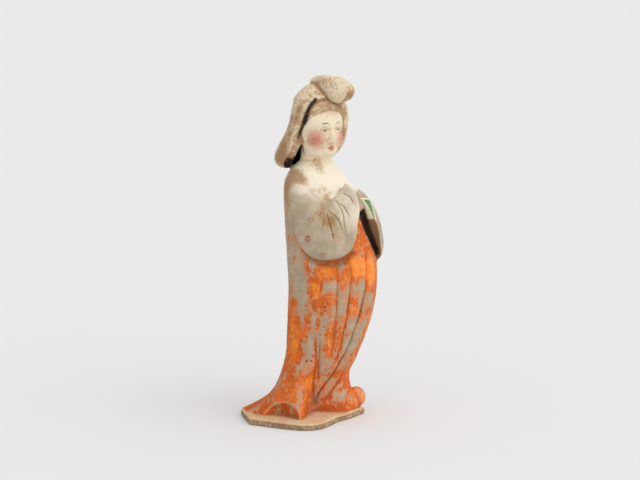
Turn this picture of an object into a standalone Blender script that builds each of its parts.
"""A painted pottery figure of a Tang court lady, fired in one piece with the thin slab that she stands on.

She faces -Y, so that her right hand is at -X. Lengths are metres. Her own form is a free form: its tables hold
shares of her height, in parts of which she is 328 high, measured from the top of the slab. An angle on her body
runs from her front, 0 degrees, round over her right side, 90, to her back, 180.
"""

import math

import bmesh
import bpy
import numpy as np
from mathutils import Matrix, Vector

# Driving dimensions
FIGURE_HEIGHT = 0.328
SLAB_THICKNESS = 0.0065
SLAB_BEVEL = 0.0008
SLAB_LEFT = 0.056
SLAB_RIGHT = 0.0625
SLAB_FRONT = 0.0495
SLAB_BACK = 0.052
ROOTING = 0.003
HOOD_THICKNESS = 0.012
ARCH_WIDTH = 0.050
ARCH_HEIGHT = 0.0195
ARCH_DEPTH = 0.018
FOLD_DEPTH = 0.0024
FOLD_WIDTH = 0.0022
CUFF_LINING_DEPTH = 0.005

# How finely the form is made
REMESH_SIZE = 0.0016
FACES_KEPT = 9100
AROUND = 144

PARTS_HIGH = 328.0
PART = FIGURE_HEIGHT / PARTS_HIGH

# Standing axis of the body, to her left of the middle of the slab, in parts
BODY_LEFT = 16.0

# Height, push forward, half width and half depth of the body's rounded sections, in parts
BODY_SECTIONS = (
    (0.0, 1.3, 38.0, 31.0),
    (25.5, 1.3, 38.0, 31.0),
    (34.5, 2.7, 37.5, 31.0),
    (47.0, 8.6, 38.5, 33.0),
    (60.5, 13.1, 39.5, 35.0),
    (78.0, 17.3, 41.5, 38.0),
    (107.0, 22.7, 44.3, 41.3),
    (126.5, 24.0, 45.0, 42.0),
    (147.5, 23.2, 45.5, 42.5),
    (180.5, 17.3, 43.5, 39.0),
    (205.5, 10.8, 41.5, 34.0),
    (221.5, 5.8, 38.5, 28.0),
    (230.5, 2.5, 34.5, 23.5),
    (237.5, 1.8, 28.0, 19.5),
    (243.5, 3.2, 19.5, 16.0),
    (248.5, 5.5, 12.0, 12.0),
)

# Angle and radius of the hem where it meets the slab, in parts: a train at her right and back, a pocket at her front
HEM = (
    (-170.0, 48.0), (-140.0, 44.0), (-90.0, 41.0), (-50.0, 43.0), (-30.0, 44.0), (-4.0, 42.0), (12.0, 36.0),
    (24.0, 29.0), (38.0, 24.0), (54.0, 23.0), (61.0, 27.0), (66.0, 62.0), (71.0, 68.0), (84.0, 66.0), (96.0, 65.0),
    (108.0, 65.0), (124.0, 70.0), (137.0, 71.0), (148.0, 65.0), (162.0, 56.0), (176.0, 50.0),
)
# How high the flare of the hem reaches, and how quickly it falls away, by angle
FLARE_HEIGHT = 60.0
FLARE_POWER = ((-170.0, 4.0), (40.0, 2.0), (62.0, 1.5), (75.0, 1.2), (98.0, 1.5), (118.0, 3.2), (135.0, 4.6), (180.0, 4.0))
POCKET_HEIGHT = 34.0
POCKET_POWER = 1.5

# Grooves between the folds of the skirt: angle and height of the points along each, and its share of FOLD_DEPTH
SKIRT_GROOVES = (
    (((47.0, 158.0), (48.5, 117.0), (45.5, 87.0), (42.5, 60.0)), 0.8),
    (((28.8, 153.0), (28.4, 140.0), (30.8, 116.0), (31.0, 96.0), (29.3, 65.0), (30.0, 52.0)), 1.0),
    (((-1.3, 162.0), (0.2, 128.0), (5.7, 109.0), (9.2, 89.0), (12.8, 64.0), (19.0, 50.0), (22.3, 36.0),
      (34.0, 27.0), (46.0, 17.0), (53.0, 6.0)), 1.5),
    (((-32.5, 109.0), (-19.0, 86.0), (-18.7, 60.0), (-9.0, 46.0), (-4.0, 33.0), (12.0, 24.0), (31.0, 12.0)), 1.2),
    (((-34.0, 32.0), (0.5, 20.0)), 0.8),
    (((72.0, 78.0), (66.0, 60.0), (58.0, 38.0), (55.0, 24.0), (56.0, 8.0)), 1.3),
    (((66.0, 78.0), (58.0, 51.0), (46.9, 33.0)), 0.9),
    (((-52.0, 150.0), (-50.0, 110.0), (-44.0, 70.0), (-40.0, 38.0)), 0.9),
    (((-84.0, 150.0), (-84.0, 100.0), (-80.0, 55.0), (-76.0, 14.0)), 0.9),
    (((-116.0, 150.0), (-118.0, 90.0), (-120.0, 14.0)), 0.7),
    (((-150.0, 170.0), (-152.0, 90.0), (-156.0, 16.0)), 0.7),
    (((176.0, 170.0), (174.0, 90.0), (168.0, 14.0)), 0.6),
)

# Sleeves: angle, lower and upper edge, and how far the cloth stands out low and high, in parts
RIGHT_SLEEVE = (
    (142.0, 226.0, 240.0, 0.0, 0.0), (128.0, 213.0, 241.0, 0.5, 0.0), (109.0, 198.0, 242.0, 3.0, 1.0),
    (95.0, 172.0, 241.0, 8.0, 3.0), (82.0, 159.0, 236.0, 12.0, 6.0), (70.0, 156.0, 227.0, 14.0, 8.0),
    (58.0, 155.5, 217.0, 15.0, 9.0), (48.0, 156.5, 213.0, 15.0, 9.0), (39.0, 158.5, 213.0, 14.0, 10.0),
    (29.0, 164.0, 216.0, 13.0, 12.0), (20.0, 173.0, 220.0, 12.0, 13.0), (12.0, 183.0, 224.0, 10.0, 14.0),
    (5.0, 191.0, 227.0, 8.0, 13.0), (0.0, 198.0, 227.0, 6.0, 11.0), (-4.0, 206.0, 224.0, 3.0, 7.0),
)
LEFT_SLEEVE = (
    (142.0, 226.0, 240.0, 0.0, 0.0), (128.0, 213.0, 241.0, 0.5, 0.0), (109.0, 198.0, 242.0, 3.0, 1.0),
    (95.0, 172.0, 241.0, 8.0, 3.0), (82.0, 158.0, 235.0, 12.0, 5.0), (70.0, 153.0, 225.0, 13.0, 8.0),
    (58.0, 149.0, 217.0, 12.0, 12.0), (48.0, 147.0, 215.0, 10.0, 14.0), (40.0, 147.0, 216.5, 8.0, 16.5),
    (32.0, 154.0, 217.5, 7.5, 17.0), (25.0, 167.0, 217.0, 8.0, 16.0), (19.0, 181.0, 215.0, 6.0, 12.0),
    (15.0, 193.0, 211.0, 3.0, 7.0),
)
# Folds pressed into a sleeve from the bend of the elbow: angle and height of the points along each, and its share
SLEEVE_GROOVES = (
    (((55.3, 201.0), (61.7, 196.0)), 0.5),
    (((52.6, 200.0), (54.7, 194.0), (59.3, 184.5), (62.9, 176.0)), 0.5),
    (((49.2, 200.0), (49.2, 187.0), (48.4, 180.0), (51.0, 164.0)), 0.6),
    (((45.5, 201.5), (40.7, 198.0), (37.2, 188.7), (36.9, 174.0)), 0.6),
    (((31.4, 212.0), (30.5, 199.5), (32.5, 190.8), (35.9, 171.0)), 0.7),
    (((27.8, 209.0), (25.6, 203.8), (25.1, 190.0)), 0.5),
    (((15.3, 219.0), (14.6, 214.7), (14.7, 205.0)), 0.5),
)
SLEEVE_EMBED = 5.0
SLEEVE_ROUNDNESS = 0.62

# Head: place of its middle, turn to her right and lean, in parts and degrees
HEAD_PLACE = (14.0, -9.0, 275.5)
HEAD_TURN = 17.0
HEAD_HALF = (20.5, 22.0, 26.0)
NECK_RADIUS = 12.5
NECK_BACK = 1.5

# Hair mass: height above the middle of the head, push forward, half width and half depth
HOOD_SECTIONS = (
    (-38.0, -17.0, 27.0, 31.0), (-34.5, -17.0, 31.0, 34.5), (-29.0, -16.0, 33.0, 36.0), (-24.0, -14.5, 33.0, 35.5),
    (-14.0, -9.0, 32.0, 33.5), (-1.0, -2.2, 30.5, 30.0), (11.0, 1.0, 29.0, 28.0), (22.0, 2.5, 27.5, 26.5),
    (29.0, 2.5, 25.0, 24.5), (36.0, 2.0, 20.0, 20.0), (42.0, 1.5, 12.5, 12.5), (45.5, 1.5, 4.0, 4.0),
)
# Height and push forward of the front edge of the hair mass
HOOD_EDGE = ((-45.0, -19.0), (-38.0, -16.0), (-30.0, -11.0), (-17.0, -3.0), (8.0, 10.0), (20.0, 13.5), (30.0, 15.0), (38.0, 22.0))
# Space cut away under the far side of the hair mass: place, half sizes and turns
FAR_WING_END = ((30.0, -2.0, -38.0), (34.0, 44.0, 12.0), (0.0, -8.0, 0.0))
# Height and spread of the rings of the neck
NECK_RINGS = ((-42.0, 0.5), (-32.0, 0.14), (-25.0, 0.0), (-8.0, 0.0))

# Rounded masses of the head in its own frame: name, place, half sizes and turns in degrees
HEAD_MASSES = (
    ("face", (0.0, 0.0, 0.0), HEAD_HALF, (0.0, 0.0, 0.0)),
    ("hair_cap", (0.0, 3.0, 3.0), (24.0, 22.5, 29.0), (0.0, 0.0, 0.0)),
    ("cheek_right", (-9.0, -11.0, -8.0), (10.0, 8.5, 10.0), (0.0, 0.0, 0.0)),
    ("cheek_left", (9.0, -11.0, -8.0), (10.0, 8.5, 10.0), (0.0, 0.0, 0.0)),
    ("chin", (0.0, -13.5, -18.0), (8.0, 7.0, 6.5), (0.0, 0.0, 0.0)),
    ("nose", (0.0, -20.5, -3.0), (2.6, 4.0, 5.4), (14.0, 0.0, 0.0)),
    ("lips", (0.0, -19.6, -12.0), (3.6, 2.4, 2.0), (0.0, 0.0, 0.0)),
    ("topknot_back", (1.0, -1.5, 45.8), (9.5, 16.0, 6.5), (-4.0, 0.0, 0.0)),
    ("topknot_middle", (7.0, -17.0, 40.8), (9.5, 12.5, 12.0), (-42.0, 0.0, 8.0)),
    ("topknot_front", (17.8, -20.5, 35.6), (8.5, 12.0, 11.5), (-50.0, 10.0, 20.0)),
)
# Rounded masses above the slab: the upturned shoe and what carries it, and the cloth over the joined hands
DRESS_MASSES = (
    ("toe", (38.0, -37.0, 10.5), (9.0, 9.5, 10.0), (0.0, 0.0, 0.0)),
    ("toe_root", (29.0, -29.0, 6.0), (17.0, 15.0, 14.0), (0.0, 0.0, -20.0)),
    ("joined_cuffs", (24.0, -45.0, 202.0), (8.5, 9.5, 8.0), (0.0, 0.0, 0.0)),
)
# Hollow pressed under the hem at her right, and the narrow opening of her left cuff: place and turns
ARCH_PLACE = (-53.0, -10.5, 0.0)
ARCH_TURNS = (0.0, 0.0, -14.0)
CUFF_PLACE = (31.0, -56.5, 199.0)
CUFF_HALF_WIDTH = 4.2
CUFF_HALF_HEIGHT = 11.0
CUFF_TURNS = (0.0, -17.0, -54.0)

# Corners of the slab, cut by hand, as shares of its reach to each side
SLAB_CORNERS = (
    (-0.55, 0.99), (-1.0, 0.36), (-0.96, -0.06), (-0.92, -0.43), (-0.85, -0.77), (-0.71, -0.97), (-0.51, -1.0),
    (-0.08, -0.92), (0.30, -0.94), (0.76, -0.90), (0.80, -0.72), (1.0, 0.10), (0.93, 0.72), (0.5, 1.0),
)

GLAZE_FREE_CLAY = (0.66, 0.42, 0.25, 1.0)
CLAY_ROUGHNESS = 0.85


def clear_scene():
    for obj in list(bpy.data.objects):
        bpy.data.objects.remove(obj, do_unlink=True)


def collection(name, hidden=False):
    made = bpy.data.collections.new(name)
    made.hide_render = hidden
    bpy.context.scene.collection.children.link(made)
    return made


def along(table, column, at):
    """Smooth values of a table's column at the places in at, with no overshoot between the rows."""
    place = np.array([row[0] for row in table], float)
    value = np.array([row[column] for row in table], float)
    step = np.diff(place)
    slope = np.diff(value) / step
    tangent = np.zeros_like(value)
    tangent[0], tangent[-1] = slope[0], slope[-1]
    before, after = slope[:-1], slope[1:]
    same_way = before * after > 0
    weight_1, weight_2 = 2 * step[1:] + step[:-1], step[1:] + 2 * step[:-1]
    safe_before = np.where(same_way, before, 1.0)
    safe_after = np.where(same_way, after, 1.0)
    middle = (weight_1 + weight_2) / (weight_1 / safe_before + weight_2 / safe_after)
    tangent[1:-1] = np.where(same_way, middle, 0.0)
    at = np.clip(np.asarray(at, float), place[0], place[-1])
    i = np.clip(np.searchsorted(place, at) - 1, 0, len(step) - 1)
    t = (at - place[i]) / step[i]
    return (
        (2 * t**3 - 3 * t**2 + 1) * value[i]
        + (t**3 - 2 * t**2 + t) * step[i] * tangent[i]
        + (3 * t**2 - 2 * t**3) * value[i + 1]
        + (t**3 - t**2) * step[i] * tangent[i + 1]
    )


def round_the_clock(table):
    """A table by angle with its ends repeated a turn away, so that it closes."""
    first = tuple([table[0][0] + 360.0, *table[0][1:]])
    last = tuple([table[-1][0] - 360.0, *table[-1][1:]])
    return (last, *table, first)


def wrapped(degrees):
    return (np.asarray(degrees) + 180.0) % 360.0 - 180.0


def body_axis(height):
    """Where the body's axis is at a height, as X and Y in parts."""
    return BODY_LEFT, -along(BODY_SECTIONS, 1, height)


def rounded_radius(angle, height):
    """Radius of the body's plain rounded section."""
    turn = np.radians(angle)
    half_width = along(BODY_SECTIONS, 2, height)
    half_depth = along(BODY_SECTIONS, 3, height)
    return half_width * half_depth / np.hypot(half_depth * np.sin(turn), half_width * np.cos(turn))


def hem_share(angle, height):
    """How far the hem's outline has drawn the section out or in, from 1 at the slab to 0 above the flare."""
    power = along(FLARE_POWER, 1, angle)
    flare = np.clip(1 - height / FLARE_HEIGHT, 0, 1) ** power
    pocket = np.clip(1 - height / POCKET_HEIGHT, 0, 1) ** POCKET_POWER
    return flare, pocket


def groove(angle, height, points, radius):
    """1 along a groove's line and 0 away from it, narrow at the groove's ends."""
    line = sorted((h, a) for a, h in points)
    low, high = line[0][0], line[-1][0]
    middle = along(line, 1, height)
    slope = (along(line, 1, height + 0.5) - along(line, 1, height - 0.5)) * np.radians(1.0) * radius
    across = wrapped(angle - middle) * np.radians(1.0) * radius / np.hypot(1.0, slope)
    ends = np.clip((height - low) / 6.0 + 0.5, 0, 1) * np.clip((high - height) / 12.0 + 0.3, 0, 1)
    width = FOLD_WIDTH / PART
    sharp = np.exp(-((across / width) ** 2))
    soft = np.exp(-((across / (2.6 * width)) ** 2))
    return ends * (0.6 * sharp + 0.4 * soft)


def body_radius(angle, height):
    """Radius of the dressed body at an angle and a height, in parts."""
    plain = rounded_radius(angle, height)
    hem = along(round_the_clock(HEM), 1, angle)
    flare, pocket = hem_share(angle, height)
    radius = plain + np.where(hem > plain, (hem - plain) * flare, (hem - plain) * pocket)
    for points, share in SKIRT_GROOVES:
        radius = radius - share * FOLD_DEPTH / PART * groove(angle, height, points, radius)
    return radius


def on_body(angle, height, out=0.0, plain=False):
    """Points of the body's surface in parts, pushed out from its axis."""
    centre_x, centre_y = body_axis(height)
    radius = (rounded_radius(angle, height) if plain else body_radius(angle, height)) + out
    turn = np.radians(angle)
    return np.stack([centre_x - radius * np.sin(turn), centre_y - radius * np.cos(turn), height + 0 * radius], axis=-1)


def loft(name, rings, where):
    """A closed solid through rings of equal count, its two ends closed by fans. Rings are in parts above the slab."""
    rings = np.asarray(rings, float) * PART
    rings[..., 2] += SLAB_THICKNESS
    count = rings.shape[1]
    mesh = bmesh.new()
    rows = [[mesh.verts.new(point) for point in ring] for ring in rings]
    for row, following in zip(rows, rows[1:]):
        for i in range(count):
            j = (i + 1) % count
            mesh.faces.new((row[i], row[j], following[j], following[i]))
    for row in (rows[0], rows[-1]):
        middle = mesh.verts.new(sum((vert.co for vert in row), Vector()) / count)
        for i in range(count):
            mesh.faces.new((row[i], row[(i + 1) % count], middle))
    bmesh.ops.recalc_face_normals(mesh, faces=mesh.faces)
    return placed(name, mesh, where)


def placed(name, mesh, where):
    data = bpy.data.meshes.new(name)
    mesh.to_mesh(data)
    mesh.free()
    obj = bpy.data.objects.new(name, data)
    where.objects.link(obj)
    return obj


def ball(name, place, half, where, turns=(0.0, 0.0, 0.0), frame=None):
    """An ellipsoid in parts, turned about its own X, Y and Z, standing in a frame."""
    mesh = bmesh.new()
    bmesh.ops.create_uvsphere(mesh, u_segments=40, v_segments=24, radius=1.0)
    spin = Matrix.Identity(4)
    for axis, degrees in zip("XYZ", turns):
        spin = Matrix.Rotation(math.radians(degrees), 4, axis) @ spin
    size = Matrix.Diagonal((*[value * PART for value in half], 1.0))
    stand = frame if frame is not None else Matrix.Translation((0, 0, SLAB_THICKNESS))
    move = stand @ Matrix.Translation(Vector(place) * PART)
    bmesh.ops.transform(mesh, matrix=move @ spin @ size, verts=mesh.verts)
    return placed(name, mesh, where)


def head_frame():
    """Frame of the head: -Y ahead of the face, X to her left, its origin in the middle of the head."""
    x, y, z = HEAD_PLACE
    turn = Matrix.Rotation(-math.radians(HEAD_TURN), 4, "Z")
    return Matrix.Translation((x * PART, y * PART, z * PART + SLAB_THICKNESS)) @ turn


def cut(target, cutter, operation="DIFFERENCE"):
    modifier = target.modifiers.new(operation.title(), "BOOLEAN")
    modifier.operation = operation
    modifier.solver = "EXACT"
    modifier.object = cutter


def applied(obj):
    """The object with its modifiers made part of its mesh."""
    bpy.context.view_layer.update()
    depsgraph = bpy.context.evaluated_depsgraph_get()
    data = bpy.data.meshes.new_from_object(obj.evaluated_get(depsgraph))
    obj.modifiers.clear()
    obj.data = data
    return obj


def make_body(where, cutters):
    angles = np.linspace(-180.0, 180.0, AROUND, endpoint=False)
    root = -2 * ROOTING / PART
    heights = np.concatenate([[root], np.linspace(0.0, 60.0, 40), np.linspace(62.0, BODY_SECTIONS[-1][0], 96)])
    rings = [on_body(angles, np.full_like(angles, max(height, 0.0))) + (0, 0, min(height, 0.0)) for height in heights]
    body = loft("dress", rings, where)
    half = (ARCH_DEPTH / PART, ARCH_WIDTH / 2 / PART, ARCH_HEIGHT / PART)
    cut(body, ball("hem_arch", ARCH_PLACE, half, cutters, ARCH_TURNS))
    return applied(body)


def make_sleeve(name, stations, side, where):
    """A hanging sleeve, lofted round the body from behind the shoulder to the cuff. side is 1 at her right."""
    stations = sorted(stations)
    angles = np.linspace(stations[0][0], stations[-1][0], 130)
    around = np.linspace(0.0, 2 * math.pi, 40, endpoint=False)
    rings = []
    for angle in angles:
        low, high, out_low, out_high = (along(stations, column, angle) for column in (1, 2, 3, 4))
        middle, half = (low + high) / 2, (high - low) / 2
        height = middle + half * np.cos(around)
        lift = np.sin(around)
        share = (1 + np.cos(around)) / 2
        bulge = (out_low + (out_high - out_low) * share) * np.clip(lift, 0, 1) ** SLEEVE_ROUNDNESS
        for points, depth_share in SLEEVE_GROOVES:
            pressed = groove(np.full_like(around, angle), height, points, 50.0)
            bulge = bulge - depth_share * FOLD_DEPTH / PART * pressed
        out = np.where(lift > 0, bulge - SLEEVE_EMBED * (1 - np.clip(lift, 0, 1)), -SLEEVE_EMBED * (1 - 0.6 * lift))
        rings.append(on_body(np.full_like(around, side * angle), height, out, plain=True))
    return loft(name, rings, where)


def make_hood(where, cutters):
    """The hair mass: a thick bell open over the face, and hollow round the neck."""
    frame = head_frame()
    around = np.linspace(0.0, 2 * math.pi, 72, endpoint=False)
    low, high = HOOD_SECTIONS[0][0], HOOD_SECTIONS[-1][0]

    def bell(name, heights, shrink, collection_):
        rings = []
        for height in heights:
            ahead, wide, deep = (along(HOOD_SECTIONS, column, height) for column in (1, 2, 3))
            wide, deep = max(wide - shrink, 1.0), max(deep - shrink, 1.0)
            ring = [wide * np.sin(around), -ahead - deep * np.cos(around), np.full_like(around, height)]
            rings.append(np.stack(ring, axis=-1))
        obj = loft(name, rings, collection_)
        obj.data.transform(frame @ Matrix.Translation((0, 0, -SLAB_THICKNESS)))
        return obj

    hood = bell("hair", np.concatenate([np.linspace(low, 36.0, 44), np.linspace(37.0, high, 12)]), 0.0, where)
    edge_heights = np.linspace(HOOD_EDGE[0][0] - 5.0, HOOD_EDGE[-1][0], 24)
    rings = []
    for height in edge_heights:
        ahead = along(HOOD_EDGE, 1, height)
        rings.append([(-60, -ahead, height), (-60, -80, height), (60, -80, height), (60, -ahead, height)])
    opening = loft("face_opening", rings, cutters)
    opening.data.transform(frame @ Matrix.Translation((0, 0, -SLAB_THICKNESS)))
    cut(hood, opening)
    inner_heights = np.linspace(low - 8.0, -8.0, 16)
    hollow = bell("neck_hollow", inner_heights, HOOD_THICKNESS / PART, cutters)
    cut(hood, hollow)
    place, half, turns = FAR_WING_END
    cut(hood, ball("far_wing_end", place, half, cutters, turns, frame))
    return applied(hood)


def make_head(where):
    """The head with its topknot, on the neck."""
    frame = head_frame()
    around = np.linspace(0, 2 * math.pi, 40, endpoint=False)
    rings = []
    for height, spread in NECK_RINGS:
        reach = NECK_RADIUS * (1 + spread)
        ring = [reach * np.cos(around), NECK_BACK + reach * np.sin(around), np.full_like(around, height)]
        rings.append(np.stack(ring, axis=-1))
    neck = loft("neck", rings, where)
    neck.data.transform(frame @ Matrix.Translation((0, 0, -SLAB_THICKNESS)))
    return [neck, *(ball(name, place, half, where, turns, frame) for name, place, half, turns in HEAD_MASSES)]


def make_dress_masses(where):
    return [ball(name, place, half, where, turns) for name, place, half, turns in DRESS_MASSES]


def make_left_sleeve(where, cutters):
    sleeve = make_sleeve("sleeve_left", LEFT_SLEEVE, -1, where)
    cut(sleeve, make_cuff_lining(cutters))
    return applied(sleeve)


def make_cuff_lining(cutters):
    """The narrow opening of her left cuff, which shows its lining."""
    half = (CUFF_HALF_WIDTH, CUFF_LINING_DEPTH / PART, CUFF_HALF_HEIGHT)
    return ball("cuff_opening", CUFF_PLACE, half, cutters, CUFF_TURNS)


def make_ground(cutters):
    """All below the depth to which the figure is rooted in the slab."""
    mesh = bmesh.new()
    bmesh.ops.create_cube(mesh, size=1.0)
    wide, deep = FIGURE_HEIGHT, FIGURE_HEIGHT / 4
    top = SLAB_THICKNESS - ROOTING
    place = Matrix.Translation((0, 0, top - deep / 2)) @ Matrix.Diagonal((wide, wide, deep, 1.0))
    bmesh.ops.transform(mesh, matrix=place, verts=mesh.verts)
    return placed("ground", mesh, cutters)


def make_slab(where):
    """The thin slab with its corners cut by hand, its underside flat at Z 0."""
    curve = bpy.data.curves.new("slab", "CURVE")
    curve.dimensions = "2D"
    curve.fill_mode = "BOTH"
    curve.extrude = SLAB_THICKNESS / 2
    spline = curve.splines.new("POLY")
    spline.points.add(len(SLAB_CORNERS) - 1)
    for point, (x, y) in zip(spline.points, SLAB_CORNERS):
        across = SLAB_LEFT if x > 0 else SLAB_RIGHT
        deep = SLAB_BACK if y > 0 else SLAB_FRONT
        point.co = (x * across, y * deep, 0.0, 1.0)
    spline.use_cyclic_u = True
    outline = bpy.data.objects.new("slab_outline", curve)
    where.objects.link(outline)
    outline.location.z = SLAB_THICKNESS / 2
    bpy.context.view_layer.update()
    data = bpy.data.meshes.new_from_object(outline.evaluated_get(bpy.context.evaluated_depsgraph_get()))
    data.transform(outline.matrix_world)
    bpy.data.objects.remove(outline)
    mesh = bmesh.new()
    mesh.from_mesh(data)
    bmesh.ops.remove_doubles(mesh, verts=mesh.verts, dist=0.00001)
    slab = placed("slab", mesh, where)
    bevel = slab.modifiers.new("Bevel", "BEVEL")
    bevel.width = SLAB_BEVEL
    bevel.segments = 1
    bevel.limit_method = "ANGLE"
    return applied(slab)


def joined(name, objects, where):
    """One object with the meshes of many, which may still pass through each other."""
    mesh = bmesh.new()
    for obj in objects:
        mesh.from_mesh(obj.data)
        bpy.data.objects.remove(obj)
    return placed(name, mesh, where)


def clay():
    material = bpy.data.materials.new("painted_pottery")
    material.use_nodes = True
    shader = material.node_tree.nodes["Principled BSDF"]
    shader.inputs["Base Color"].default_value = GLAZE_FREE_CLAY
    shader.inputs["Roughness"].default_value = CLAY_ROUGHNESS
    shader.inputs["Metallic"].default_value = 0.0
    return material


def main():
    clear_scene()
    figure_parts = collection("tang_court_lady")
    cutters = collection("cutters", hidden=True)
    pieces = [
        make_body(figure_parts, cutters),
        make_sleeve("sleeve_right", RIGHT_SLEEVE, 1, figure_parts),
        make_left_sleeve(figure_parts, cutters),
        make_hood(figure_parts, cutters),
        *make_head(figure_parts),
        *make_dress_masses(figure_parts),
    ]
    figure = joined("court_lady_figure", pieces, figure_parts)
    remesh = figure.modifiers.new("Remesh", "REMESH")
    remesh.mode = "VOXEL"
    remesh.voxel_size = REMESH_SIZE
    smooth = figure.modifiers.new("Smooth", "SMOOTH")
    smooth.factor = 0.5
    smooth.iterations = 2
    applied(figure)
    decimate = figure.modifiers.new("Decimate", "DECIMATE")
    decimate.ratio = min(1.0, FACES_KEPT / sum(len(face.vertices) - 2 for face in figure.data.polygons))
    applied(figure)
    cut(figure, make_ground(cutters))
    cut(figure, make_slab(cutters), "UNION")
    applied(figure)
    for obj in cutters.objects:
        obj.hide_render = True
        obj.display_type = "WIRE"
    figure.data.materials.clear()
    figure.data.materials.append(clay())
    figure.data.shade_smooth()


main()
